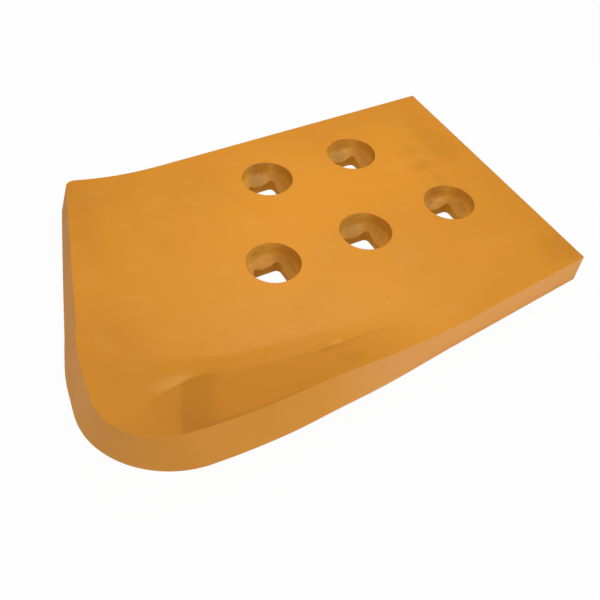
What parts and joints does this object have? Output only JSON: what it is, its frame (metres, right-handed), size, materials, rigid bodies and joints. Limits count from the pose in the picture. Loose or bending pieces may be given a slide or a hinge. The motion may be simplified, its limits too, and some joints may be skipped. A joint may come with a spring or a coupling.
{
  "type": "dozer end bit",
  "caption": "Dozer blade end bit: thick steel plate whose outer corner curls and turns up to a rounded toe, with seated, square-necked plow bolt holes.",
  "frame": {"origin": "on the flat back face, in the middle of the group of plow bolt holes", "axes": "+X along the bolt rows towards the inner end, +Y up the blade to the straight top edge, +Z out of the front face, towards the soil"},
  "size_m": [0.4017, 0.2845, 0.0798],
  "materials": {
    "painted_steel": "semi-gloss orange-yellow paint over rolled steel, rubbed in the bolt seats"
  },
  "bodies": {
    "root": {"end_bit": "painted_steel"}
  },
  "joints": []
}
